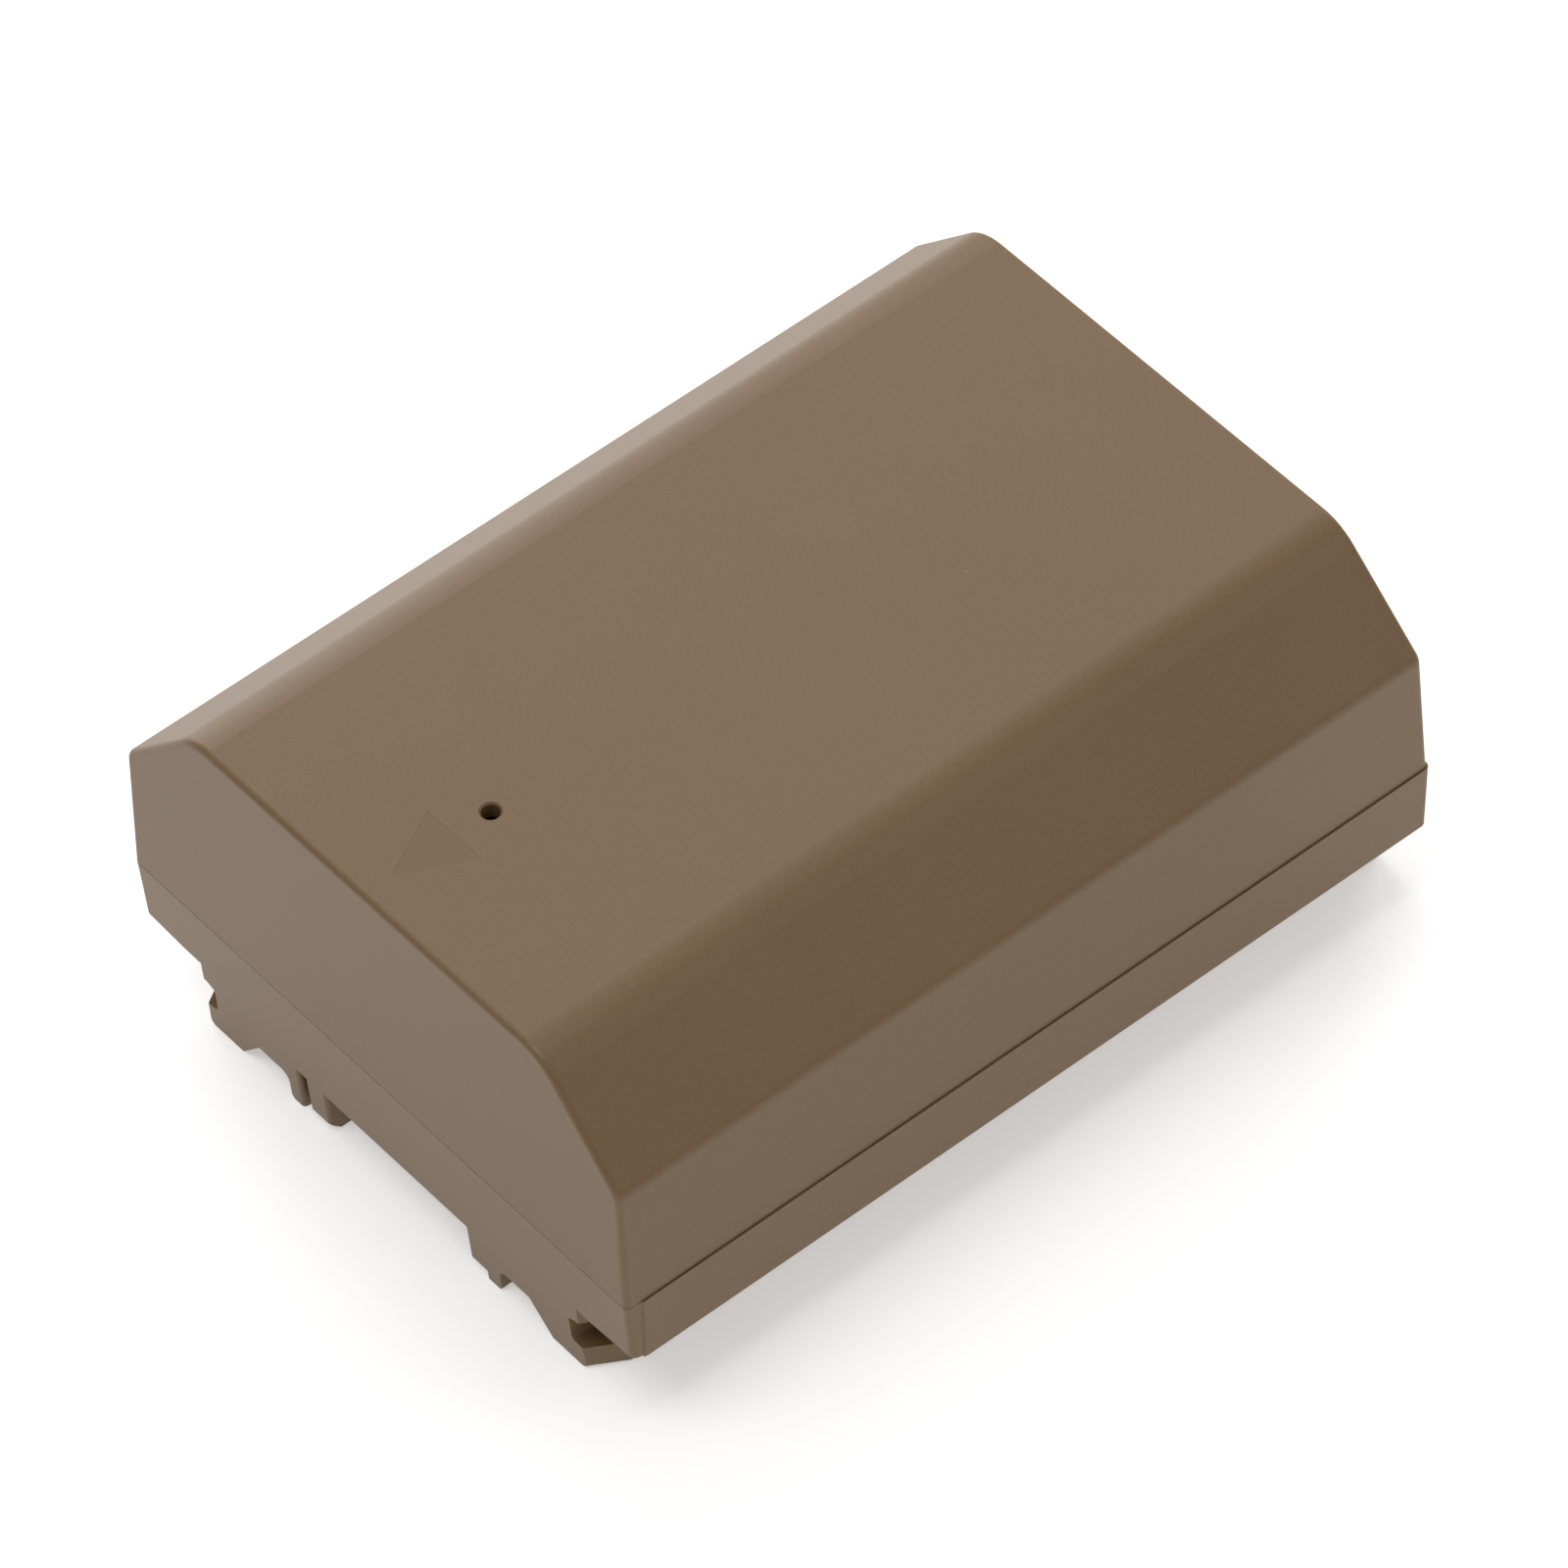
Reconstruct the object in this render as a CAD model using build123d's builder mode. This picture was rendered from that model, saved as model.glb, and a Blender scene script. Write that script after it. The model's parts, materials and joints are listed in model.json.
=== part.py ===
from build123d import *
import os
from math import radians, sqrt, tan

os.makedirs("parts", exist_ok=True)

# Rechargeable camera battery pack, millimetres.
# X is the width, Y the length with the contact end at -Y, Z up from the base.

# Cells, side by side along Y
can_diameter = 17.9
can_length = 48.35
can_edge_radius = 0.7
bead_from_end = 3.0
bead_width = 1.4
bead_depth = 0.5
button_radius = 4.6
button_height = 0.5
crimp_radius = 6.6
gasket_depth = 0.4
sleeve_thickness = 0.1
sleeve_lip = 1.6
washer_thickness = 0.2
washer_clearance = 0.3
cell_gap = 0.1

# Strips, cards and clearances round the cells
nickel = 0.15
strap_width = 7.0
weld_radius = 0.4
weld_spacing = 3.0
tab_width = 2.4
tab_x = 2.4
tab_step_from_board = 2.0
tab_foot = 0.8
card = 0.15
card_inset = 0.6
side_clearance = 0.12
end_clearance = 0.1
top_clearance = 0.15
shoulder_clearance = 0.15
adhesive_gap = 0.02
adhesive_width = 3.0
adhesive_length = 30.0
adhesive_radius = 0.8
saddle_clearance = 0.05

# Walls of the two shells
side_wall = 0.98
end_wall = 0.8
top_wall = 1.0
shoulder_wall = 1.1
base_floor = 1.0
ledge_floor = 1.0
proud = 0.1
proud_from_end = 0.9
proud_ramp = 0.1

# Shape of the shells
end_draft = 0.375
side_draft = 0.3
inner_side_draft = 0.08
tray_end_draft = 3.1
tray_side_draft = 1.0
blend_radius = 3.2
shoulder_radius = 0.9
inner_blend_radius = 2.2
inner_shoulder_radius = 0.5
corner_radius = 0.35
inner_corner_radius = 0.4
ledge_edge_radius = 0.15

# Seam between the shells
seam = 9.02
seam_gap = 0.04
tongue = 0.38
tongue_clearance = 0.04
tongue_depth = 0.7

# Board under the cells and the space above it
board_lift = 0.3
board_thickness = 0.8
board_side_room = 3.0
board_length = 25.0
board_clearance = 0.3
board_corner_radius = 0.6
rail_width = 1.2
rail_inset = 1.0
part_space = 1.1
sheet_thickness = 0.15
sheet_clearance = 0.1
sheet_margin = 0.5
sheet_front_inset = 4.0
sheet_back_inset = 6.5

# Base block below the ledges
ledge = 4.72
lead_in_rise = 0.35
lead_in_length = 1.1
base_half_width = 16.0
base_wall = 1.0
base_edge_radius = 0.35
nose_half_width = 14.74
nose_start = 0.35
nose_length = 2.4

# Hook grooves in the sides of the base block
groove_low = 1.63
groove_inner_high = 3.35
groove_high = 3.6
groove_half_width = 13.94
groove_roof_half_width = 14.5
groove_round = 0.35
groove_length = 9.0

# Contact end: shallow recesses with ramps, ribs, notch and slots
recess_height = 1.78
recess_round = 0.6
recess_depth = 5.0
recess_half_width = 10.65
ramp_run = 1.6
rib_reach = 8.3
rib_chamfer = 0.2
notch_left = -5.15
notch_right = 5.85
notch_height = 3.05
notch_setback = 2.0
comb_lift = 0.5
tooth_chamfer = 0.6
tooth_left = -6.95
tooth_right = 7.25
contact_count = 4
contact_pitch = 3.8
first_contact_x = -7.05
slot_width = 0.55
mouth_radius = 0.25
mouth_length = 2.9
chamber_width = 1.5
chamber_length = 3.3
contact_wall = 1.0
block_top_clearance = 0.1
window_width = 1.0
window_slack = 0.1

# Contact clips
clip_sheet = 0.2
clip_clearance = 0.1
clip_low = 0.6
clip_throat = 0.2
clip_throat_length = 0.5
clip_flare = 0.4
tail_width = 0.8
tail_on_board = 1.2

# Saddle ribs that carry the cells
rib_thickness = 1.0
rib_top = 7.5
rib_from_front = 9.0
rib_from_back = 2.7
rib_count = 5
rib_board_clearance = 0.5
rib_middle_gap = 3.0

# Packages on the board: length, width and height, and the leads on each side
switch_package = (4.4, 3.0, part_space)
protection_package = (2.9, 1.6, 1.0)
gauge_package = (4.0, 4.0, 0.8)
switch_lead_count = 4
protection_lead_count = 3
gauge_lead_count = 5

# Two-ended parts on the board: length, width, height and the body between the end caps
shunt_package = (3.2, 1.6, 0.6, 2.0)
fuse_package = (3.2, 1.6, 0.7, 2.0)
capacitor_package = (1.0, 0.5, 0.5, 0.5)
resistor_package = (1.0, 0.5, 0.35, 0.5)
cap_step = 0.05

# Leads, and the places of the parts from the middle of the board's front edge
lead_width = 0.3
lead_thickness = 0.15
lead_reach = 0.8
switch_place = (-5.5, 8.5)
protection_place = (5.0, 7.0)
gauge_place = (4.5, 12.5)
shunt_place = (-5.0, 13.0)
fuse_place = (-5.5, 4.5)
small_part_count = 4
small_part_inset = 1.7
small_parts_from_front = 6.0
small_part_pitch = 2.0

# Thermistor bead and wire
bead_radius = 1.1
bead_clearance = 0.05
bead_lead_radius = 0.2
bead_lead_spacing = 1.0
bead_from_board_back = 4.0
wire_radius = 0.3
wire_bend = 1.5
wire_from_board_back = 1.2

# Features on the top and the label under the base
hole_diameter = 1.0
hole_chamfer = 0.1
hole_from_end = 8.35
arrow_width = 4.1
arrow_length = 3.9
arrow_tip_from_end = 2.2
arrow_depth = 0.01
label_side_margin = 4.0
label_length = 30.0
label_thickness = 0.1
label_recess = 0.15
label_margin = 0.15
label_radius = 1.2
label_from_front = 14.9

# Sizes that follow from the cells and what is round them
cell_diameter = can_diameter + 2 * sleeve_thickness
cell_radius = cell_diameter / 2
can_radius = can_diameter / 2
cell_x = (cell_diameter + cell_gap) / 2
cell_length = can_length + sleeve_thickness
board_low = base_floor + board_lift
board_top = board_low + board_thickness
sheet_low = board_top + part_space
cell_bottom = sheet_low + sheet_thickness + sheet_clearance
cell_z = cell_bottom + cell_radius
inner_half_width = cell_x + cell_radius + side_clearance
inner_half_length = cell_length / 2 + nickel + card + end_clearance + end_draft
inner_top = cell_z + cell_radius + top_clearance
half_width = inner_half_width + side_wall
half_length = inner_half_length + end_wall
height = inner_top + top_wall
shoulder_offset = cell_radius + shoulder_clearance
inner_shoulder_sum = cell_x + cell_z + shoulder_offset * sqrt(2)
shoulder_sum = inner_shoulder_sum + shoulder_wall * sqrt(2)

# Places along the length
middle_y = -proud / 2
front = middle_y - half_length
inner_front = middle_y - inner_half_length
inner_back = middle_y + inner_half_length
cell_front = middle_y - cell_length / 2
cell_back = middle_y + cell_length / 2
block_top = cell_bottom - block_top_clearance
chamber_front = front + mouth_length
chamber_back = chamber_front + chamber_length
bay_front = chamber_back + contact_wall
board_front = bay_front + board_clearance
board_back = board_front + board_length
board_middle = (board_front + board_back) / 2
contact_xs = [first_contact_x + contact_pitch * i for i in range(contact_count)]
far_out = half_width + half_length + height

# Lines that several cuts share
arrow_base_y = front + arrow_tip_from_end + arrow_length
tray_side_inset = seam * tan(radians(tray_side_draft))
tray_end_inset = seam * tan(radians(tray_end_draft))
floor_middle = base_floor / 2
shelf_middle = ledge + ledge_floor / 2
wall_x = base_half_width - base_wall / 2
bay_half = base_half_width - base_wall
nose_half = nose_half_width - base_wall
board_width = 2 * (bay_half - board_side_room)
label_width = 2 * (base_half_width - label_side_margin)
small_part_x = board_width / 2 - small_part_inset
rail_x = board_width / 2 - rail_inset
rail_ys = (board_front + rail_inset, board_back - rail_inset)
first_rib_y = front + rib_from_front
last_rib_y = inner_back - rib_from_back - rib_thickness
rib_pitch = (last_rib_y - first_rib_y) / (rib_count - 1)
rib_ys = [first_rib_y + rib_pitch * i for i in range(rib_count)]
chamber_middle = (chamber_front + chamber_back) / 2
notch_xs = (notch_left, notch_right)
mouth_xs = notch_xs + (first_contact_x - slot_width / 2, first_contact_x + slot_width / 2)
window_zs = (board_top - window_slack, board_top + clip_sheet + window_slack)
tooth_y = front + tray_end_inset
ramp_y = front + proud_from_end - proud_ramp
label_middle = (0, front + label_from_front + label_length / 2)


def drafted_block(low, high, half_x, half_y, inset_x, inset_y, radius):
    """Block of the given size at one height, with walls that lean in towards the other."""
    with BuildPart() as block:
        with BuildSketch(Plane.XY.offset(low)):
            with Locations((0, middle_y)):
                RectangleRounded(2 * half_x, 2 * half_y, radius)
        with BuildSketch(Plane.XY.offset(high)):
            with Locations((0, middle_y)):
                RectangleRounded(2 * (half_x - inset_x), 2 * (half_y - inset_y), radius)
        loft(ruled=True)
    return block.part


def lid_form(half_x, half_y, top, corner_sum, draft, blend, corner, radius):
    """Solid form of the upper shell: flat top, two 45 degree shoulders and drafted walls."""
    low = seam + seam_gap
    lean = draft / (top - low)
    corner_x = (half_x - lean * (corner_sum - low)) / (1 - lean)
    with BuildPart() as form:
        with BuildSketch(Plane.XZ) as section:
            with BuildLine():
                Polyline(
                    (-half_x, low),
                    (half_x, low),
                    (corner_x, corner_sum - corner_x),
                    (corner_sum - top, top),
                    (top - corner_sum, top),
                    (-corner_x, corner_sum - corner_x),
                    close=True,
                )
            make_face()
            fillet(section.vertices().group_by(Axis.Y)[-1], radius=blend)
            fillet(section.vertices().group_by(Axis.Y)[1], radius=corner)
        extrude(amount=far_out, both=True)
        with BuildSketch(Plane.YZ):
            with BuildLine():
                Polyline(
                    (middle_y - half_y, low),
                    (middle_y + half_y, low),
                    (middle_y + half_y - end_draft, top),
                    (middle_y - half_y + end_draft, top),
                    close=True,
                )
            make_face()
        extrude(amount=far_out, both=True, mode=Mode.INTERSECT)
        walls = form.faces().sort_by(Axis.Y)
        outline = walls[0].edges() + walls[-1].edges()
        fillet(outline.filter_by(lambda e: e.center().Z > low + radius), radius=radius)
    return form.part


def inner_plug(low, high, grow):
    """Rounded plug that fills the interior, grown outwards by the given amount."""
    with BuildPart() as plug:
        with BuildSketch(Plane.XY.offset(low)):
            with Locations((0, middle_y)):
                RectangleRounded(
                    2 * (inner_half_width + grow),
                    2 * (inner_half_length + grow),
                    inner_corner_radius + grow,
                )
        extrude(amount=high - low)
    return plug.part


def slab(x_range, y_range, z_range):
    """Block between three pairs of coordinates."""
    with BuildPart() as block:
        with BuildSketch(Plane.XY.offset(z_range[0])):
            with Locations(((x_range[0] + x_range[1]) / 2, (y_range[0] + y_range[1]) / 2)):
                Rectangle(x_range[1] - x_range[0], y_range[1] - y_range[0])
        extrude(amount=z_range[1] - z_range[0])
    return block.part


def profile_bar(points, y_low, y_high):
    """Bar along Y with the given outline of x, z points."""
    with BuildPart() as bar:
        with BuildSketch(Plane.XZ.offset(-y_high)):
            with BuildLine():
                Polyline(*points, close=True)
            make_face()
        extrude(amount=y_high - y_low)
    return bar.part


def ledge_outline(builder):
    """Edges round the outside of a tray block's underside."""
    return builder.edges().filter_by(
        lambda e: e.center().Z < seam - tongue_depth - ledge_edge_radius
        and abs(e.tangent_at(0.5).Z) < sqrt(0.5)
        and (abs(e.center().X) > half_width - end_wall or e.center().Y < front + end_wall
             or e.center().Y > front + 2 * half_length - end_wall)
    )


def both_sides(shape):
    """The shape and its mirror image across the middle plane of the pack."""
    return [shape, shape.mirror(Plane.YZ)]


def finish(builder, name):
    """Labels a finished piece and writes it."""
    builder.part.label = name
    export_step(builder.part, f"parts/{name}.step")


# Upper shell
lid_outside = lid_form(
    half_width,
    half_length,
    height,
    shoulder_sum,
    side_draft,
    blend_radius,
    shoulder_radius,
    corner_radius,
)
lid_inside = lid_form(
    inner_half_width,
    inner_half_length,
    inner_top,
    inner_shoulder_sum,
    inner_side_draft,
    inner_blend_radius,
    inner_shoulder_radius,
    inner_corner_radius,
)
tongue_ring = inner_plug(seam - tongue_depth, seam + seam_gap, tongue) - inner_plug(
    seam - tongue_depth, seam + seam_gap, 0
)

with BuildPart() as upper_case:
    add(lid_outside)
    add(lid_inside, mode=Mode.SUBTRACT)
    add(tongue_ring)
    with BuildSketch(Plane.XY.offset(height)):
        with Locations((0, front + hole_from_end)):
            Circle(hole_diameter / 2)
    extrude(amount=-top_wall - top_clearance, mode=Mode.SUBTRACT)
    with BuildSketch(Plane.XY.offset(height)):
        with Locations((0, front + hole_from_end)):
            Circle(hole_diameter / 2 + hole_chamfer)
    extrude(amount=-hole_chamfer, taper=45, mode=Mode.SUBTRACT)
    with BuildSketch(Plane.XY.offset(height)):
        with BuildLine():
            Polyline(
                (-arrow_width / 2, arrow_base_y),
                (0, arrow_base_y - arrow_length),
                (arrow_width / 2, arrow_base_y),
                close=True,
            )
        make_face()
    extrude(amount=-arrow_depth, mode=Mode.SUBTRACT)
finish(upper_case, "upper_case")

# Blocks, cutters and outlines of the lower shell
tray_flush = drafted_block(
    seam, 0, half_width, half_length, tray_side_inset, tray_end_inset, corner_radius
)
tray_proud = drafted_block(
    seam,
    0,
    half_width + proud,
    half_length + proud,
    tray_side_inset,
    tray_end_inset,
    corner_radius,
)
whole_slab = slab((-far_out, far_out), (-far_out, far_out), (ledge, seam))
proud_slab = slab((-far_out, far_out), (ramp_y, far_out), (ledge, seam))
rib_outside = [
    (wall_x, floor_middle),
    (wall_x, shelf_middle),
    (inner_half_width + tongue, shelf_middle),
    (inner_half_width + tongue, rib_top),
]
tooth_outline = [
    (tooth_y + 2 * tooth_chamfer, -tooth_chamfer),
    (tooth_y - tooth_chamfer, 2 * tooth_chamfer),
    (tooth_y - tooth_chamfer, -tooth_chamfer),
]

# Sloping corner of the ledge, which leads the pack into its bay
lead_in_start = Vector(nose_half_width, front, ledge)
lead_in_side = Vector(half_width, front, ledge + lead_in_rise) - lead_in_start
lead_in_back = Vector(half_width, front + lead_in_length, ledge) - lead_in_start
lead_in = Plane(origin=lead_in_start, z_dir=lead_in_side.cross(lead_in_back))
lead_in_cutter = (
    Location(lead_in)
    * Box(far_out, far_out, lead_in_length, align=(Align.CENTER, Align.CENTER, Align.MAX))
)

with BuildPart() as upper_tray:
    add(tray_flush & whole_slab)
    add(both_sides(lead_in_cutter), mode=Mode.SUBTRACT)
    fillet(ledge_outline(upper_tray), radius=ledge_edge_radius)

with BuildPart() as proud_band:
    add(tray_proud & proud_slab)
    add(both_sides(lead_in_cutter), mode=Mode.SUBTRACT)
    fillet(ledge_outline(proud_band), radius=ledge_edge_radius)
    # Ramps that lead from the flush front strip up to the band
    with BuildSketch():
        with BuildLine():
            Polyline(
                (0, ramp_y),
                (half_width - proud, ramp_y),
                (half_width + proud, ramp_y + 2 * proud_ramp),
                (half_width + proud, far_out),
                (0, far_out),
                close=True,
            )
        make_face()
        mirror(about=Plane.YZ)
    extrude(amount=seam, mode=Mode.INTERSECT)

with BuildPart() as groove:
    with BuildSketch(Plane.XZ.offset(-front - groove_length)):
        with BuildLine():
            Polyline(
                (groove_half_width, groove_low),
                (groove_half_width, groove_inner_high),
                (groove_roof_half_width, groove_high),
                (far_out, groove_high),
                (far_out, groove_low),
                close=True,
            )
        groove_face = make_face()
        fillet(groove_face.vertices().group_by(Axis.X)[0].sort_by(Axis.Y)[0], radius=groove_round)
    extrude(amount=groove_length + proud)

with BuildPart() as recess:
    with BuildSketch(Plane.XZ.offset(-front - recess_depth)):
        with BuildLine():
            Polyline(
                (rib_reach - rib_chamfer, -recess_height),
                (rib_reach - rib_chamfer, 0),
                (rib_reach, rib_chamfer),
                (rib_reach, recess_height),
                (recess_half_width, recess_height),
                (recess_half_width + ramp_run, 0),
                (recess_half_width + ramp_run, -recess_height),
                close=True,
            )
        recess_face = make_face()
        fillet(recess_face.vertices().group_by(Axis.Y)[-1].sort_by(Axis.X)[0], radius=recess_round)
    extrude(amount=recess_depth + proud)

with BuildPart() as base_block:
    with BuildSketch():
        with BuildLine():
            Polyline(
                (0, front - proud),
                (nose_half_width, front - proud),
                (nose_half_width, front + nose_start),
                (base_half_width, front + nose_length),
                (base_half_width, far_out),
                (0, far_out),
                close=True,
            )
        make_face()
        mirror(about=Plane.YZ)
    extrude(amount=shelf_middle)
    add(tray_flush, mode=Mode.INTERSECT)
    bottom_edges = base_block.edges().group_by(Axis.Z)[0].sort_by(Axis.Y)
    fillet(bottom_edges[1:], radius=base_edge_radius)

with BuildPart() as cell_room:
    with BuildSketch(Plane.XZ.offset(-inner_back)):
        with Locations((-cell_x, cell_z), (cell_x, cell_z)):
            Circle(cell_radius + saddle_clearance)
    extrude(amount=inner_back - inner_front)

saddle_ribs = []
for y in rib_ys:
    behind = y > board_back + rib_thickness
    inner_x = rib_middle_gap if behind else board_width / 2 + rib_board_clearance
    rib_outline = [(inner_x, rib_top), (inner_x, floor_middle)] + rib_outside
    saddle_ribs += both_sides(profile_bar(rib_outline, y, y + rib_thickness))

cell_space = inner_plug(ledge + ledge_floor, seam, 0)
tongue_rebate = inner_plug(seam - tongue_depth, seam, tongue + tongue_clearance)
board_bay = slab((-bay_half, bay_half), (bay_front, inner_back), (base_floor, seam))
nose_space = slab((-nose_half, nose_half), (inner_front, bay_front), (block_top, seam))
rails = both_sides(slab((rail_x - rail_width, rail_x), rail_ys, (floor_middle, board_low)))
grooves = both_sides(groove.part)
recesses = both_sides(recess.part)
notch = slab(notch_xs, (front - proud, front + notch_setback), (-proud, notch_height))
comb_gap = slab(notch_xs, (front, chamber_back), (-proud, comb_lift))
windows = [
    slab(
        (x - window_width / 2, x + window_width / 2),
        (chamber_back - proud, bay_front + proud),
        window_zs,
    )
    for x in contact_xs
]

with BuildPart() as lower_case:
    add(upper_tray.part)
    add(proud_band.part)
    add(base_block.part)
    # Interior above the ledges, the board bay and the space over the contact block
    add([cell_space, tongue_rebate, board_bay, nose_space], mode=Mode.SUBTRACT)
    # Saddle ribs, open in the middle for the board and the wires, and the board's rails
    add(saddle_ribs)
    add(cell_room.part, mode=Mode.SUBTRACT)
    add(rails)
    # Hook grooves in the sides and shallow recesses beside the contacts
    add(grooves + recesses, mode=Mode.SUBTRACT)
    # Wide notch, and the comb that stands back in it
    add([notch, comb_gap], mode=Mode.SUBTRACT)
    # Chamfered teeth on both sides of the notch
    for x_low, x_high in ((tooth_left, notch_left), (notch_right, tooth_right)):
        with BuildSketch(Plane.YZ.offset(x_low)):
            with BuildLine():
                Polyline(*tooth_outline, close=True)
            make_face()
        extrude(amount=x_high - x_low, mode=Mode.SUBTRACT)
    # Slots and chambers of the contacts, with a window for each clip's tail
    with BuildSketch(Plane.XY.offset(notch_height)):
        for x in contact_xs:
            with Locations((x, (front - proud + chamber_back) / 2)):
                Rectangle(slot_width, chamber_back - front + proud)
            with Locations((x, chamber_middle)):
                Rectangle(chamber_width, chamber_length)
    extrude(amount=-notch_height, mode=Mode.SUBTRACT)
    add(windows, mode=Mode.SUBTRACT)
    # Rounded mouths of the notch and of the slot beside it
    mouths = lower_case.edges().filter_by(
        lambda e: e.center().Y < tooth_y and min(abs(e.center().X - x) for x in mouth_xs) < mouth_radius / 2
    )
    fillet(mouths, radius=mouth_radius)
    # Recess for the label
    with BuildSketch():
        with Locations(label_middle):
            RectangleRounded(
                label_width + 2 * label_margin,
                label_length + 2 * label_margin,
                label_radius + label_margin,
            )
    extrude(amount=label_recess, mode=Mode.SUBTRACT)
finish(lower_case, "lower_case")


def can_plane(x, towards):
    """Plane through a can's axis, from its flat end along Y."""
    start = cell_front + sleeve_thickness if towards > 0 else cell_back - sleeve_thickness
    return Plane(origin=(x, start, cell_z), x_dir=(1, 0, 0), z_dir=(0, 0, towards))


def make_can(x, towards):
    """Sealed can with a rolled bead, a crimped rim and its positive button."""
    shoulder = can_length - button_height
    bead_low = shoulder - bead_from_end - bead_width
    edge_x = can_radius - can_edge_radius
    plane = can_plane(x, towards)
    with BuildPart() as can:
        with BuildSketch(plane):
            with BuildLine():
                Line((0, 0), (edge_x, 0))
                CenterArc((edge_x, can_edge_radius), can_edge_radius, 270, 90)
                Line((can_radius, can_edge_radius), (can_radius, bead_low))
                ThreePointArc(
                    (can_radius, bead_low),
                    (can_radius - bead_depth, bead_low + bead_width / 2),
                    (can_radius, bead_low + bead_width),
                )
                Line((can_radius, bead_low + bead_width), (can_radius, shoulder - can_edge_radius))
                CenterArc((edge_x, shoulder - can_edge_radius), can_edge_radius, 0, 90)
                Polyline(
                    (edge_x, shoulder),
                    (crimp_radius, shoulder),
                    (crimp_radius, shoulder - gasket_depth),
                    (button_radius, shoulder - gasket_depth),
                    (button_radius, can_length),
                    (0, can_length),
                    (0, 0),
                )
            make_face()
        revolve(axis=Axis(plane.origin, plane.y_dir))
    return can


def make_sleeve(x, towards):
    """Shrink sleeve round a can, turned in over both ends."""
    edge_x = can_radius - can_edge_radius
    lip_x = edge_x - sleeve_lip
    top = can_length - button_height + washer_thickness
    outer_edge = can_edge_radius + sleeve_thickness
    outer_x = can_radius + sleeve_thickness
    plane = can_plane(x, towards)
    with BuildPart() as sleeve:
        with BuildSketch(plane):
            with BuildLine():
                Line((lip_x, -sleeve_thickness), (edge_x, -sleeve_thickness))
                CenterArc((edge_x, can_edge_radius), outer_edge, 270, 90)
                Line((outer_x, can_edge_radius), (outer_x, top - can_edge_radius))
                CenterArc((edge_x, top - can_edge_radius), outer_edge, 0, 90)
                Polyline(
                    (edge_x, top + sleeve_thickness),
                    (lip_x, top + sleeve_thickness),
                    (lip_x, top),
                    (edge_x, top),
                )
                CenterArc((edge_x, top - can_edge_radius), can_edge_radius, 90, -90)
                Line((can_radius, top - can_edge_radius), (can_radius, can_edge_radius))
                CenterArc((edge_x, can_edge_radius), can_edge_radius, 0, -90)
                Polyline((edge_x, 0), (lip_x, 0), (lip_x, -sleeve_thickness))
            make_face()
        revolve(axis=Axis(plane.origin, plane.y_dir))
    return sleeve


def make_washer(x, towards):
    """Paper ring on the crimped rim, round the button."""
    plane = can_plane(x, towards)
    shoulder = can_length - button_height
    with BuildPart() as washer:
        with BuildSketch(plane):
            with BuildLine():
                Polyline(
                    (button_radius + washer_clearance, shoulder),
                    (can_radius - can_edge_radius, shoulder),
                    (can_radius - can_edge_radius, shoulder + washer_thickness),
                    (button_radius + washer_clearance, shoulder + washer_thickness),
                    close=True,
                )
            make_face()
        revolve(axis=Axis(plane.origin, plane.y_dir))
    return washer


# Cells: the left one has its positive end at the contacts, the right one at the back
for side, x, towards in (("left", -cell_x, -1), ("right", cell_x, 1)):
    finish(make_can(x, towards), f"cell_{side}")
    finish(make_sleeve(x, towards), f"sleeve_{side}")
    finish(make_washer(x, towards), f"washer_{side}")

# Strip across the back of both cells, welded to the left can through two dimples
with BuildPart() as series_strap:
    with BuildSketch(Plane.XZ.offset(-cell_back - nickel)):
        with Locations((0, cell_z)):
            SlotCenterToCenter(2 * cell_x, strap_width)
    extrude(amount=nickel)
    with BuildSketch(Plane.XZ.offset(-cell_back)):
        with Locations((-cell_x - weld_spacing / 2, cell_z), (-cell_x + weld_spacing / 2, cell_z)):
            Circle(weld_radius)
    extrude(amount=sleeve_thickness)
finish(series_strap, "series_strap")


def make_tab(side, dimples):
    """Strip from a cell's front end down into the valley, over the contact block to the board."""
    drop_y = board_front + tab_step_from_board
    with BuildPart() as tab:
        with BuildSketch(Plane.XZ.offset(-cell_front)):
            with Locations((side * cell_x, cell_z)):
                Circle(strap_width / 2)
            with Locations((side * (cell_x + tab_x) / 2, cell_z)):
                Rectangle(cell_x - tab_x + tab_width, tab_width)
            with Locations((side * tab_x, (block_top + cell_z) / 2)):
                Rectangle(tab_width, cell_z - block_top)
        extrude(amount=nickel)
        with BuildSketch(Plane.YZ.offset(side * tab_x - tab_width / 2)):
            with BuildLine():
                Polyline(
                    (cell_front - nickel, block_top),
                    (drop_y, block_top),
                    (drop_y, board_top),
                    (drop_y + tab_foot, board_top),
                    (drop_y + tab_foot, board_top + nickel),
                    (drop_y + nickel, board_top + nickel),
                    (drop_y + nickel, block_top + nickel),
                    (cell_front - nickel, block_top + nickel),
                    close=True,
                )
            make_face()
        extrude(amount=tab_width)
        if dimples:
            with BuildSketch(Plane.XZ.offset(-cell_front - sleeve_thickness)):
                with Locations(
                    (side * cell_x - weld_spacing / 2, cell_z),
                    (side * cell_x + weld_spacing / 2, cell_z),
                ):
                    Circle(weld_radius)
            extrude(amount=sleeve_thickness)
    return tab


finish(make_tab(-1, False), "positive_tab")
finish(make_tab(1, True), "negative_tab")

# Insulating cards between the strips and the case
for name, outer_y in (("front_card", cell_front - nickel), ("rear_card", cell_back + nickel + card)):
    with BuildPart() as end_card:
        with BuildSketch(Plane.XZ.offset(-outer_y)):
            with Locations((0, cell_z)):
                SlotCenterToCenter(2 * cell_x, 2 * (cell_radius - card_inset))
        extrude(amount=card)
    finish(end_card, name)

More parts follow.
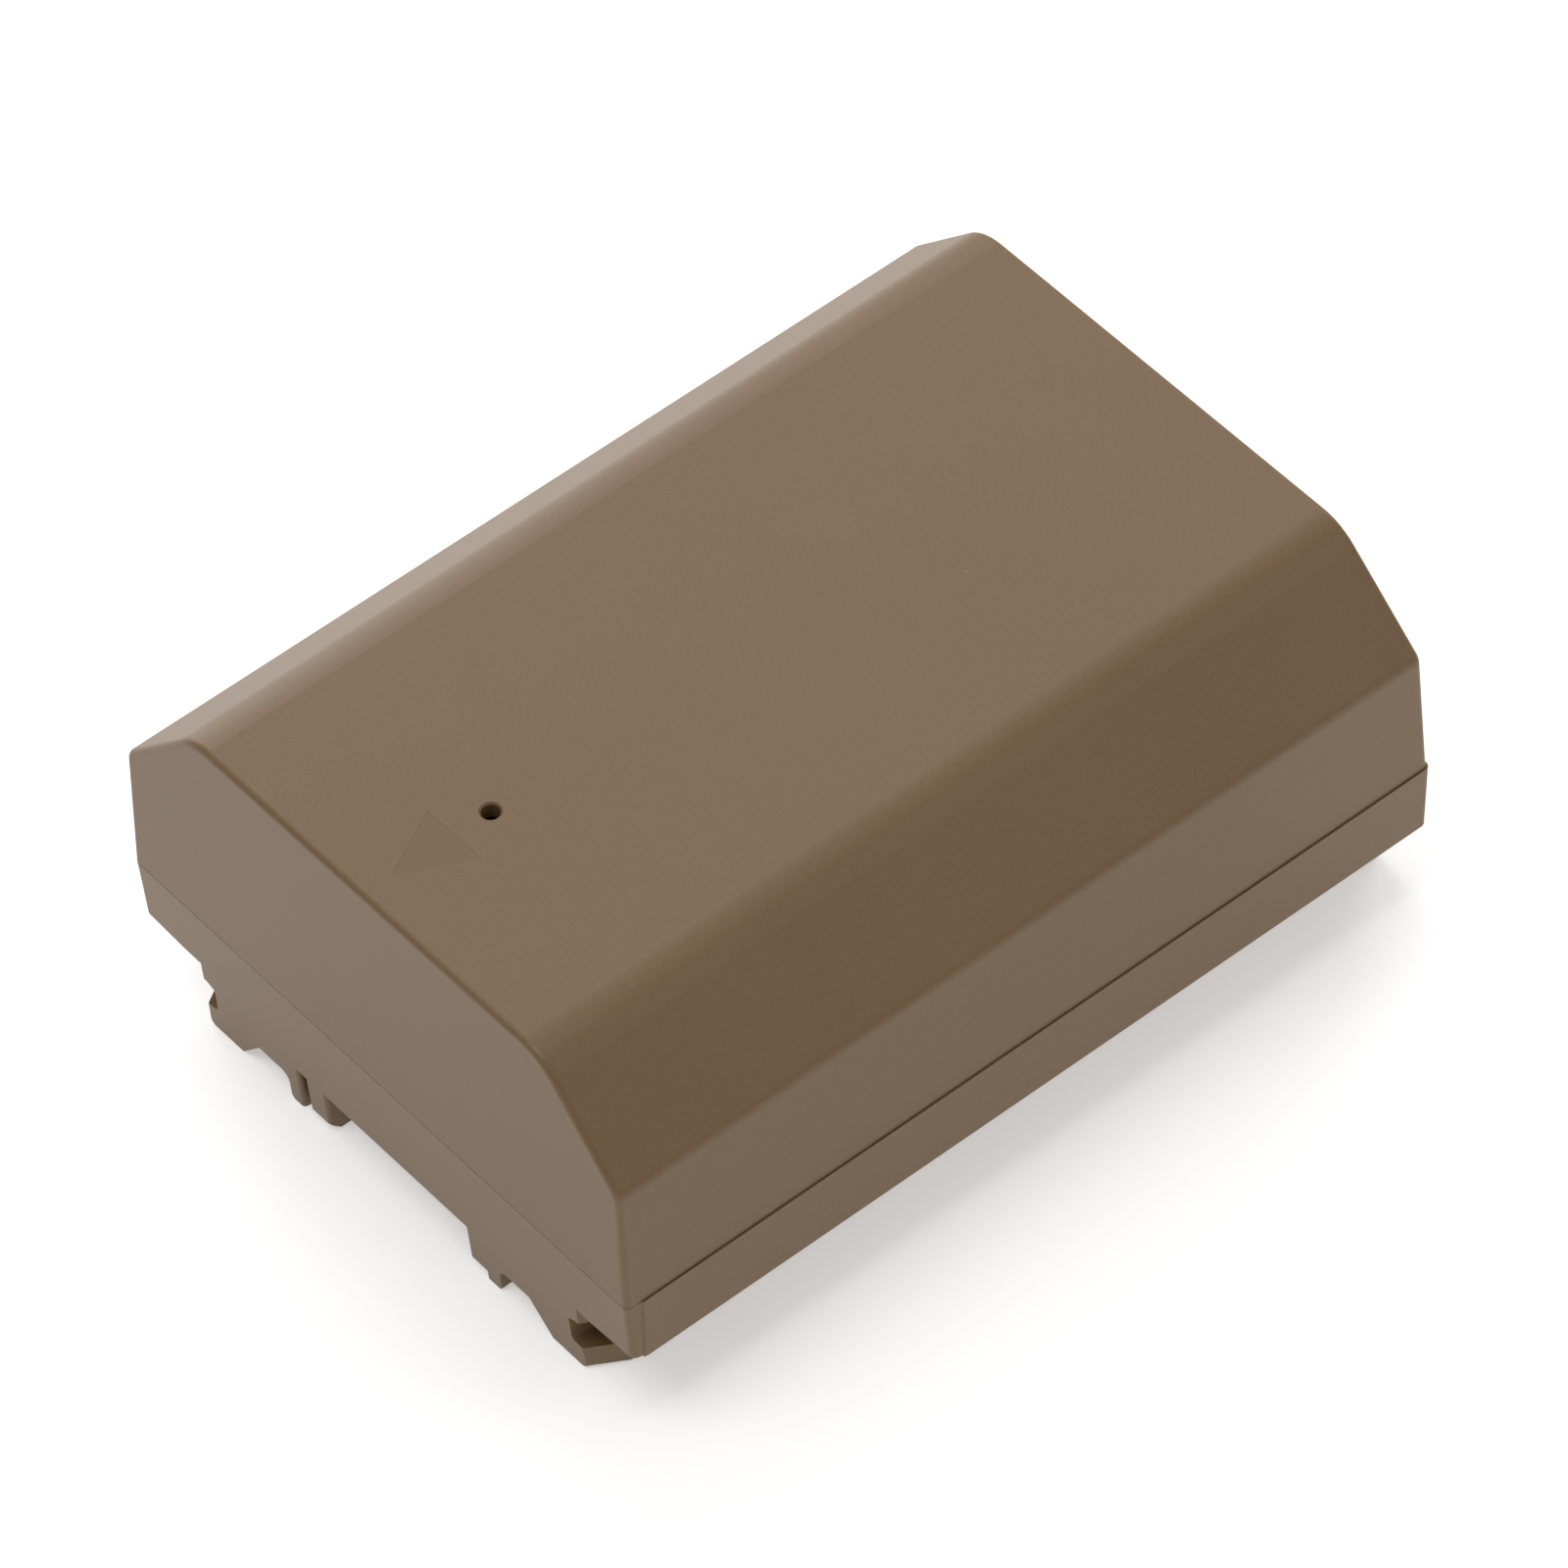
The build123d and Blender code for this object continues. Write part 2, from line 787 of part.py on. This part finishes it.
# Adhesive pads between the cells and the upper shell
for side, x in (("left", -cell_x), ("right", cell_x)):
    with BuildPart() as pad:
        with BuildSketch(Plane.XY.offset(inner_top)):
            with Locations((x, middle_y)):
                RectangleRounded(adhesive_width, adhesive_length, adhesive_radius)
        extrude(amount=adhesive_gap - top_clearance)
    finish(pad, f"adhesive_{side}")

# Board on its rails
with BuildPart() as protection_board:
    with BuildSketch(Plane.XY.offset(board_low)):
        with Locations((0, board_middle)):
            RectangleRounded(board_width, board_length, board_corner_radius)
    extrude(amount=board_thickness)
finish(protection_board, "protection_board")

# Forked spring clips in the contact chambers, with tails soldered to the board
clip_back = chamber_back - clip_clearance - clip_sheet / 2
clip_front = chamber_front + clip_clearance + clip_sheet / 2
clip_side = chamber_width / 2 - clip_clearance - clip_sheet / 2
throat_side = (clip_throat + clip_sheet) / 2
clip_high = board_top + clip_sheet
for i, x in enumerate(contact_xs):
    tail = slab(
        (x - tail_width / 2, x + tail_width / 2),
        (clip_back, board_front + tail_on_board),
        (board_top, clip_high),
    )
    with BuildPart() as contact_clip:
        with BuildSketch(Plane.XY.offset(clip_low)):
            with BuildLine():
                Polyline(
                    (x + clip_flare, clip_front),
                    (x + throat_side, clip_front + clip_throat_length),
                    (x + throat_side, clip_front + 2 * clip_throat_length),
                    (x + clip_side, clip_back - clip_throat_length),
                    (x + clip_side, clip_back),
                    (x - clip_side, clip_back),
                    (x - clip_side, clip_back - clip_throat_length),
                    (x - throat_side, clip_front + 2 * clip_throat_length),
                    (x - throat_side, clip_front + clip_throat_length),
                    (x - clip_flare, clip_front),
                )
            trace(line_width=clip_sheet)
        extrude(amount=clip_high - clip_low)
        add(tail)
    finish(contact_clip, f"contact_clip_{i + 1}")


def make_chip(package, leads, place):
    """Moulded package on the board with flat leads along both long sides."""
    length, width, tall = package
    with BuildPart() as chip:
        with BuildSketch(Plane.XY.offset(board_top)):
            with Locations((place[0], board_front + place[1])):
                Rectangle(length, width)
        extrude(amount=tall)
        chamfer(chip.edges().group_by(Axis.Z)[-1], length=lead_thickness)
        with BuildSketch(Plane.XY.offset(board_top)):
            with Locations((place[0], board_front + place[1])):
                with GridLocations(length / leads, 0, leads, 1):
                    Rectangle(lead_width, width + 2 * lead_reach)
        extrude(amount=lead_thickness)
    return chip


def make_chip_part(package, place):
    """Small two-ended part: a body between two raised end caps."""
    length, width, tall, body = package
    with BuildPart() as chip:
        with BuildSketch(Plane.XY.offset(board_top)):
            with Locations((place[0], board_front + place[1])):
                Rectangle(length, width)
        extrude(amount=tall)
        with BuildSketch(Plane.XY.offset(board_top + tall)):
            with Locations((place[0], board_front + place[1])):
                Rectangle(body, width)
        extrude(amount=-cap_step, mode=Mode.SUBTRACT)
    return chip


finish(make_chip(switch_package, switch_lead_count, switch_place), "switch_chip")
protection_chip = make_chip(protection_package, protection_lead_count, protection_place)
finish(protection_chip, "protection_chip")
finish(make_chip(gauge_package, gauge_lead_count, gauge_place), "gauge_chip")
finish(make_chip_part(shunt_package, shunt_place), "shunt_resistor")
finish(make_chip_part(fuse_package, fuse_place), "chip_fuse")
for i in range(small_part_count):
    row_y = small_parts_from_front + small_part_pitch * i
    finish(make_chip_part(capacitor_package, (small_part_x, row_y)), f"capacitor_{i + 1}")
    finish(make_chip_part(resistor_package, (-small_part_x, row_y)), f"resistor_{i + 1}")

# Thermistor bead in the valley between the cells, on two leads
bead_reach = cell_radius + bead_radius + bead_clearance
bead_z = cell_z - sqrt(bead_reach**2 - cell_x**2)
bead_y = board_back - bead_from_board_back
with BuildPart() as thermistor:
    with BuildSketch(Plane.XY.offset(board_top)):
        with Locations((0, bead_y)):
            with GridLocations(bead_lead_spacing, 0, 2, 1):
                Circle(bead_lead_radius)
    extrude(amount=bead_z - board_top)
    with BuildSketch(Plane.XZ.offset(-bead_y)):
        with BuildLine():
            ThreePointArc(
                (0, bead_z - bead_radius), (bead_radius, bead_z), (0, bead_z + bead_radius)
            )
            Line((0, bead_z + bead_radius), (0, bead_z - bead_radius))
        make_face()
    revolve(axis=Axis((0, bead_y, bead_z), (0, 0, 1)))
finish(thermistor, "thermistor")

# Insulated wire from the strap along the valley and down to the board
wire_z = cell_z - strap_width / 2 + wire_radius
wire_y = board_back - wire_from_board_back
with BuildPart() as midpoint_wire:
    with BuildLine() as wire_path:
        FilletPolyline(
            (0, cell_back, wire_z), (0, wire_y, wire_z), (0, wire_y, board_top), radius=wire_bend
        )
    with BuildSketch(Plane.XZ.offset(-cell_back)):
        with Locations((0, wire_z)):
            Circle(wire_radius)
    sweep(path=wire_path.line)
finish(midpoint_wire, "midpoint_wire")

# Insulating sheet over the parts on the board
sheet_ys = (board_front + sheet_front_inset, board_back - sheet_back_inset)
with BuildPart() as board_sheet:
    with BuildSketch(Plane.XY.offset(sheet_low)):
        with Locations((0, (sheet_ys[0] + sheet_ys[1]) / 2)):
            RectangleRounded(
                board_width - 2 * sheet_margin, sheet_ys[1] - sheet_ys[0], board_corner_radius
            )
    extrude(amount=sheet_thickness)
finish(board_sheet, "board_sheet")

# Blank label in its recess
with BuildPart() as rating_label:
    with BuildSketch(Plane.XY.offset(label_recess)):
        with Locations(label_middle):
            RectangleRounded(label_width, label_length, label_radius)
    extrude(amount=-label_thickness)
finish(rating_label, "rating_label")
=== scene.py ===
"""Looks of the camera battery pack: textured plastic shells, metal contacts and a blank label."""
import json
from math import cos, radians, sin

import bpy
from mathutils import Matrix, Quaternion, Vector


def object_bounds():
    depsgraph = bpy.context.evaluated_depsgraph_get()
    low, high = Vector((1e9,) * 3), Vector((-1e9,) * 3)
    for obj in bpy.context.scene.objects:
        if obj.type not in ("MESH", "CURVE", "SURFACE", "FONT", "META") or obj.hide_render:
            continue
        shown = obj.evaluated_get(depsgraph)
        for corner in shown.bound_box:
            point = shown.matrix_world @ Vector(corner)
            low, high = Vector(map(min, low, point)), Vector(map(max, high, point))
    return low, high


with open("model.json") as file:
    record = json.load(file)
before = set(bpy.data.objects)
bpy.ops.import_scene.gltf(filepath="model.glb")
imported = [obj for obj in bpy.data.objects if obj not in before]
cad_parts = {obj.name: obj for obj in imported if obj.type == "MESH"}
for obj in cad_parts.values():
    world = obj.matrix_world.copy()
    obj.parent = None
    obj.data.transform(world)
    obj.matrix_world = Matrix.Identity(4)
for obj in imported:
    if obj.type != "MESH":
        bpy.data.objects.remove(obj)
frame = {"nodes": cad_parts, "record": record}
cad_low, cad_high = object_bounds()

MM = 0.001

# Camera: lens and place found by matching the corners of the pack in the photograph
FRAME_PIXELS = 1600
FOCAL_PIXELS = 11677.85
SENSOR_MM = 36.0
VIEW_AZIMUTH = 53.028
VIEW_ELEVATION = 48.842
VIEW_ROLL = 3.956
EYE_MM = (297.907, -224.024, 437.556)
CLIP_NEAR_MM = 10.0
CLIP_FAR_MM = 10000.0

# Floor and surroundings
FLOOR_SIZE_MM = 4000.0
FLOOR_ROUGHNESS = 0.9
FLOOR_COLOUR = (0.86, 0.86, 0.85, 1)
WORLD_COLOUR = (1.0, 1.0, 1.0, 1)
WORLD_STRENGTH = 0.3
FLOOR_GLOW = 0.42

# Soft boxes: azimuth and elevation in degrees seen from the pack, and watts
BOX_DISTANCE_MM = 600.0
BOX_SIZE_MM = 300.0
SOFT_BOXES = {
    "overhead": (0, 90, 0.61),
    "front_high": (-15, 65, 0.82),
    "left": (-110, 38, 0.76),
    "left_low": (-100, 14, 0.70),
    "back_left": (-150, 38, 0.66),
    "back_right": (130, 38, 0.33),
}

# Plastic of the shells: its grain, painted darker in its hollows as shade and lighter on its crests as
# light, the slow change of tone across it, and specks of dust
CASE_COLOUR = (0.18, 0.1088, 0.0504, 1)
CASE_ROUGHNESS = 0.42
CASE_ROUGHNESS_SWING = 0.03
CASE_SPECULAR = 0.37
CASE_PATCH_MM = 9.0
CASE_GRAIN_MM = 0.16
CASE_FINE_GRAIN_MM = 0.07
CASE_GRAIN_DEPTH_MM = 0.003
# Tones of painted shade in the hollows of the grain and painted light on its crests
HOLLOW_SHADE_TONES = (0.91, 0.95)
CREST_LIGHT_TONES = (1.05, 1.09)
DUST_COLOUR = (0.34, 0.29, 0.23, 1)
DUST_SPACING_MM = 1.9
DUST_REACH = (0.030, 0.040)
DUST_RAGGEDNESS = 0.03
DUST_AREAS_MM = 6.0
DUST_AREA_LEVELS = (0.60, 0.66)

# Arrowhead on the top: its tip and base along Y, its width, and the tone of painted shade on its recessed
# floor.
# Its painted shade shows only above a height just under the top, and its edge is soft.
ARROW_TIP_MM = -23.65
ARROW_BASE_MM = -19.75
ARROW_WIDTH_MM = 4.1
ARROW_SHADE_TONE = (0.94, 0.93, 0.9)
ARROW_ABOVE_MM = 22.0
SOFT_EDGE_MM = 0.05

# The middle stretch of a noise, which is mapped to the whole range between two looks
MID_NOISE = (0.3, 0.7)

# Metal and moulded pieces: tones of their blotches, and the swing of their roughness
BLOTCH_MM = 2.5
METAL_DARK_TONE = 0.9
METAL_ROUGHNESS_SWING = (0.8, 1.25)
METAL_STREAK_DEPTH_MM = 0.002
MOULDED_TONES = (0.92, 1.06)
MOULDED_ROUGHNESS_SWING = (0.85, 1.15)
MOULDED_PATCH_GRAINS = 12

# Electrical paper
PAPER_ROUGHNESS = 0.85
PAPER_FIBRE_MM = 0.25
PAPER_FIBRE_STRETCH = (1, 0.25, 1)
PAPER_FIBRE_LEVELS = (0.35, 0.65)
PAPER_TONES = (0.85, 1.08)
PAPER_FIBRE_DEPTH_MM = 0.01

# Circuit board: its solder mask over copper runs
BOARD_ROUGHNESS = 0.32
BOARD_GREENS = ((0.015, 0.12, 0.05, 1), (0.02, 0.14, 0.055, 1))
BOARD_RUN_COLOUR = (0.04, 0.22, 0.09, 1)
BOARD_RUN_SPACING_MM = 3.0
BOARD_RUN_WIDTH = 0.05
BOARD_ROW_SHIFT = 0.5
BOARD_RUN_DEPTH_MM = 0.01

# Sockets of the colour mix node, whose names repeat for each kind of data
MIX_FIRST_COLOUR = 6
MIX_SECOND_COLOUR = 7
MIX_RESULT_COLOUR = 2


class Material:
    """A node material under construction, with short calls for the nodes that repeat."""

    def __init__(self, name, roughness, metallic=0.0):
        self.material = bpy.data.materials.new(name)
        self.material.use_nodes = True
        self.nodes = self.material.node_tree.nodes
        self.links = self.material.node_tree.links
        self.shader = self.nodes["Principled BSDF"]
        self.shader.inputs["Roughness"].default_value = roughness
        self.shader.inputs["Metallic"].default_value = metallic
        self.place = self.nodes.new("ShaderNodeTexCoord").outputs["Object"]

    def noise(self, size_mm, detail=2.0, rough=0.5, stretch=(1, 1, 1)):
        """Noise whose features are about the given size."""
        mapping = self.nodes.new("ShaderNodeMapping")
        mapping.inputs["Scale"].default_value = stretch
        self.links.new(self.place, mapping.inputs["Vector"])
        texture = self.nodes.new("ShaderNodeTexNoise")
        texture.inputs["Scale"].default_value = 1 / (size_mm * MM)
        texture.inputs["Detail"].default_value = detail
        texture.inputs["Roughness"].default_value = rough
        self.links.new(mapping.outputs["Vector"], texture.inputs["Vector"])
        return texture.outputs["Fac"]

    def cells(self, size_mm):
        """Distance to the nearest of points that lie about the given size apart."""
        texture = self.nodes.new("ShaderNodeTexVoronoi")
        texture.inputs["Scale"].default_value = 1 / (size_mm * MM)
        self.links.new(self.place, texture.inputs["Vector"])
        return texture.outputs["Distance"]

    def spread(self, value, low, high, out_low=0.0, out_high=1.0):
        """Maps a value from one range to another and clamps it."""
        node = self.nodes.new("ShaderNodeMapRange")
        node.inputs["From Min"].default_value = low
        node.inputs["From Max"].default_value = high
        node.inputs["To Min"].default_value = out_low
        node.inputs["To Max"].default_value = out_high
        self.links.new(value, node.inputs["Value"])
        return node.outputs["Result"]

    def mix(self, factor, first, second):
        """Mixes two colours, each given as a colour or an output."""
        node = self.nodes.new("ShaderNodeMix")
        node.data_type = "RGBA"
        self.links.new(factor, node.inputs["Factor"])
        for index, value in ((MIX_FIRST_COLOUR, first), (MIX_SECOND_COLOUR, second)):
            socket = node.inputs[index]
            if isinstance(value, tuple):
                socket.default_value = value
            else:
                self.links.new(value, socket)
        return node.outputs[MIX_RESULT_COLOUR]

    def times(self, first, second):
        """Product of an output and an output or a number."""
        node = self.nodes.new("ShaderNodeMath")
        node.operation = "MULTIPLY"
        self.links.new(first, node.inputs[0])
        if isinstance(second, float):
            node.inputs[1].default_value = second
        else:
            self.links.new(second, node.inputs[1])
        return node.outputs[0]

    def plus(self, first, second):
        """Sum of two outputs."""
        node = self.nodes.new("ShaderNodeMath")
        node.operation = "ADD"
        self.links.new(first, node.inputs[0])
        self.links.new(second, node.inputs[1])
        return node.outputs[0]

    def axes(self):
        """The X, Y and Z of the object's own coordinates."""
        node = self.nodes.new("ShaderNodeSeparateXYZ")
        self.links.new(self.place, node.inputs[0])
        return node.outputs

    def size_of(self, value):
        """Absolute value of an output."""
        node = self.nodes.new("ShaderNodeMath")
        node.operation = "ABSOLUTE"
        self.links.new(value, node.inputs[0])
        return node.outputs[0]

    def above(self, value, level_mm):
        """One where the value is over the level, with a soft edge."""
        return self.spread(value, level_mm * MM, (level_mm + SOFT_EDGE_MM) * MM)

    def bump(self, height, depth_mm):
        """Bump of the given depth on the shader's normal."""
        node = self.nodes.new("ShaderNodeBump")
        node.inputs["Strength"].default_value = 1.0
        node.inputs["Distance"].default_value = depth_mm * MM
        self.links.new(height, node.inputs["Height"])
        self.links.new(node.outputs["Normal"], self.shader.inputs["Normal"])

    def colour(self, value):
        """Links an output to the shader's colour."""
        self.links.new(value, self.shader.inputs["Base Color"])

    def roughness(self, value):
        """Links an output to the shader's roughness."""
        self.links.new(value, self.shader.inputs["Roughness"])


def tint(colour, factor):
    """The colour made lighter or darker by a factor."""
    return tuple(c * factor for c in colour[:3]) + (1,)


def arrow_shade_mask(made):
    """One on the floor of the arrowhead in the top, where its painted shade goes, zero elsewhere."""
    x, y, z = made.axes()
    slope = ARROW_WIDTH_MM / 2 / (ARROW_BASE_MM - ARROW_TIP_MM)
    sides = made.plus(made.times(y, slope), made.times(made.size_of(x), -1.0))
    inside = made.above(sides, slope * ARROW_TIP_MM)
    ahead = made.above(made.times(y, -1.0), -ARROW_BASE_MM)
    return made.times(made.times(inside, ahead), made.above(z, ARROW_ABOVE_MM))


def case_plastic():
    """Satin plastic with a fine spark-eroded grain, painted shade in its hollows and painted light on its
    crests, and a few specks of dust.
    """
    made = Material("case_plastic", CASE_ROUGHNESS)
    made.shader.inputs["Specular IOR Level"].default_value = CASE_SPECULAR
    broad = made.noise(CASE_PATCH_MM, detail=3.0)
    grain = made.noise(CASE_GRAIN_MM, detail=3.0, rough=0.6)
    fine = made.noise(CASE_FINE_GRAIN_MM, detail=1.0)
    patches = made.spread(broad, *MID_NOISE)
    # Painted shade in the hollows of the grain and painted light on its crests, following the same noise
    # as the bump
    shaded_hollows = made.mix(patches, *(tint(CASE_COLOUR, tone) for tone in HOLLOW_SHADE_TONES))
    lit_crests = made.mix(patches, *(tint(CASE_COLOUR, tone) for tone in CREST_LIGHT_TONES))
    body = made.mix(made.spread(grain, *MID_NOISE), shaded_hollows, lit_crests)
    # Painted shade on the floor of the recessed arrowhead
    shaded_arrow_floor = tuple(c * t for c, t in zip(CASE_COLOUR, ARROW_SHADE_TONE)) + (1,)
    body = made.mix(arrow_shade_mask(made), body, shaded_arrow_floor)
    ragged = made.plus(made.cells(DUST_SPACING_MM), made.times(fine, DUST_RAGGEDNESS))
    speck = made.spread(ragged, *DUST_REACH, 1.0, 0.0)
    rare = made.spread(made.noise(DUST_AREAS_MM, detail=1.0), *DUST_AREA_LEVELS)
    body = made.mix(made.times(speck, rare), body, DUST_COLOUR)
    made.colour(body)
    smoothest = CASE_ROUGHNESS - CASE_ROUGHNESS_SWING
    roughest = CASE_ROUGHNESS + CASE_ROUGHNESS_SWING
    made.roughness(made.spread(grain, 0.25, 0.75, smoothest, roughest))
    made.bump(made.plus(grain, made.times(fine, 0.5)), CASE_GRAIN_DEPTH_MM)
    return made.material


def metal(name, colour, roughness, grain_mm, stretch=(1, 1, 1)):
    """Plated or rolled metal with fine streaks."""
    made = Material(name, roughness, metallic=1.0)
    streaks = made.noise(grain_mm, detail=4.0, rough=0.6, stretch=stretch)
    blotch = made.noise(BLOTCH_MM)
    made.colour(made.mix(made.spread(blotch, *MID_NOISE), tint(colour, METAL_DARK_TONE), colour))
    made.roughness(made.spread(streaks, *MID_NOISE, *(roughness * s for s in METAL_ROUGHNESS_SWING)))
    made.bump(streaks, METAL_STREAK_DEPTH_MM)
    return made.material


def moulded(name, colour, roughness, grain_mm, depth_mm):
    """Plain moulded, printed or pressed surface with a fine grain."""
    made = Material(name, roughness)
    grain = made.noise(grain_mm, detail=3.0)
    broad = made.noise(grain_mm * MOULDED_PATCH_GRAINS)
    made.colour(made.mix(made.spread(broad, *MID_NOISE), *(tint(colour, tone) for tone in MOULDED_TONES)))
    made.roughness(made.spread(grain, *MID_NOISE, *(roughness * s for s in MOULDED_ROUGHNESS_SWING)))
    made.bump(grain, depth_mm)
    return made.material


def paper(name, colour):
    """Pressed electrical paper with short fibres."""
    made = Material(name, PAPER_ROUGHNESS)
    fibres = made.noise(PAPER_FIBRE_MM, detail=5.0, rough=0.7, stretch=PAPER_FIBRE_STRETCH)
    tones = (tint(colour, tone) for tone in PAPER_TONES)
    made.colour(made.mix(made.spread(fibres, *PAPER_FIBRE_LEVELS), *tones))
    made.bump(fibres, PAPER_FIBRE_DEPTH_MM)
    return made.material


def solder_mask():
    """Green board with copper runs showing through as lighter lines."""
    made = Material("solder_mask", BOARD_ROUGHNESS)
    runs = made.nodes.new("ShaderNodeTexBrick")
    runs.offset = BOARD_ROW_SHIFT
    runs.inputs["Scale"].default_value = 1 / (BOARD_RUN_SPACING_MM * MM)
    runs.inputs["Color1"].default_value = BOARD_GREENS[0]
    runs.inputs["Color2"].default_value = BOARD_GREENS[1]
    runs.inputs["Mortar"].default_value = BOARD_RUN_COLOUR
    runs.inputs["Mortar Size"].default_value = BOARD_RUN_WIDTH
    made.links.new(made.place, runs.inputs["Vector"])
    made.colour(runs.outputs["Color"])
    made.bump(runs.outputs["Fac"], BOARD_RUN_DEPTH_MM)
    return made.material


def make_materials():
    """One material for each slot of the record."""
    steel = (0.62, 0.63, 0.65, 1)
    nickel = (0.66, 0.64, 0.6, 1)
    gold = (0.86, 0.62, 0.26, 1)
    return {
        "case": case_plastic(),
        "can_steel": metal("can_steel", steel, roughness=0.28, grain_mm=0.3, stretch=(1, 0.1, 1)),
        "nickel": metal("nickel_strip", nickel, roughness=0.3, grain_mm=0.2, stretch=(0.2, 1, 1)),
        "contact": metal("gold_plate", gold, roughness=0.22, grain_mm=0.15),
        "card": paper("electrical_card", (0.5, 0.44, 0.32, 1)),
        "board": solder_mask(),
        "sleeve": moulded(
            "shrink_sleeve", (0.06, 0.2, 0.12, 1), roughness=0.3, grain_mm=0.8, depth_mm=0.01
        ),
        "wire": moulded(
            "wire_insulation", (0.5, 0.03, 0.02, 1), roughness=0.35, grain_mm=0.3, depth_mm=0.004
        ),
        "adhesive": moulded(
            "adhesive_pad", (0.72, 0.72, 0.68, 1), roughness=0.6, grain_mm=0.5, depth_mm=0.01
        ),
        "chip": moulded(
            "chip_package", (0.02, 0.02, 0.022, 1), roughness=0.5, grain_mm=0.05, depth_mm=0.003
        ),
        "ceramic_body": moulded(
            "ceramic_body", (0.3, 0.2, 0.12, 1), roughness=0.4, grain_mm=0.08, depth_mm=0.003
        ),
        "bead": moulded(
            "epoxy_bead", (0.012, 0.012, 0.012, 1), roughness=0.2, grain_mm=0.4, depth_mm=0.004
        ),
        "label": moulded(
            "label_film", (0.1, 0.078, 0.06, 1), roughness=0.38, grain_mm=0.2, depth_mm=0.003
        ),
    }


def dress_nodes(materials):
    """Puts each CAD node's material on it."""
    for entry in frame["record"]["subparts"]:
        node = frame["nodes"][entry["node"]]
        node.data.materials.clear()
        node.data.materials.append(materials[entry["material_slot"]])


def make_floor():
    """Plain pale floor under the pack."""
    half = FLOOR_SIZE_MM * MM / 2
    mesh = bpy.data.meshes.new("floor")
    corners = [(-half, -half, 0), (half, -half, 0), (half, half, 0), (-half, half, 0)]
    mesh.from_pydata(corners, [], [(0, 1, 2, 3)])
    floor = bpy.data.objects.new("floor", mesh)
    bpy.context.scene.collection.objects.link(floor)
    made = Material("floor", FLOOR_ROUGHNESS)
    made.shader.inputs["Base Color"].default_value = FLOOR_COLOUR
    made.shader.inputs["Emission Color"].default_value = WORLD_COLOUR
    made.shader.inputs["Emission Strength"].default_value = FLOOR_GLOW
    mesh.materials.append(made.material)


def make_light(name, azimuth, elevation, watts):
    """Soft box that looks at the pack from the given direction."""
    middle = (cad_low + cad_high) / 2
    out = Vector((sin(radians(azimuth)), -cos(radians(azimuth)), 0)) * cos(radians(elevation))
    out.z = sin(radians(elevation))
    light = bpy.data.lights.new(name, "AREA")
    light.shape = "DISK"
    light.size = BOX_SIZE_MM * MM
    light.energy = watts
    lamp = bpy.data.objects.new(name, light)
    lamp.location = middle + out * BOX_DISTANCE_MM * MM
    lamp.rotation_mode = "QUATERNION"
    lamp.rotation_quaternion = (-out).to_track_quat("-Z", "Y")
    bpy.context.scene.collection.objects.link(lamp)


def make_camera():
    """Camera at the photograph's place, angle and lens."""
    data = bpy.data.cameras.new("camera")
    data.sensor_width = SENSOR_MM
    data.lens = SENSOR_MM * FOCAL_PIXELS / FRAME_PIXELS
    data.clip_start = CLIP_NEAR_MM * MM
    data.clip_end = CLIP_FAR_MM * MM
    camera = bpy.data.objects.new("camera", data)
    turn, tip = radians(VIEW_AZIMUTH), radians(VIEW_ELEVATION)
    look = Vector((-sin(turn) * cos(tip), cos(turn) * cos(tip), -sin(tip)))
    camera.rotation_mode = "QUATERNION"
    roll = Quaternion((0, 0, 1), radians(-VIEW_ROLL))
    camera.rotation_quaternion = look.to_track_quat("-Z", "Y") @ roll
    camera.location = Vector(EYE_MM) * MM
    bpy.context.scene.collection.objects.link(camera)
    bpy.context.scene.camera = camera


def make_world():
    """Even pale surroundings."""
    world = bpy.data.worlds.new("studio")
    world.use_nodes = True
    background = world.node_tree.nodes["Background"]
    background.inputs["Color"].default_value = WORLD_COLOUR
    background.inputs["Strength"].default_value = WORLD_STRENGTH
    bpy.context.scene.world = world


make_camera()
make_world()
make_floor()
for name, (azimuth, elevation, watts) in SOFT_BOXES.items():
    make_light(name, azimuth, elevation, watts)
bpy.context.scene.view_settings.view_transform = "Standard"
bpy.context.scene.view_settings.look = "None"
dress_nodes(make_materials())
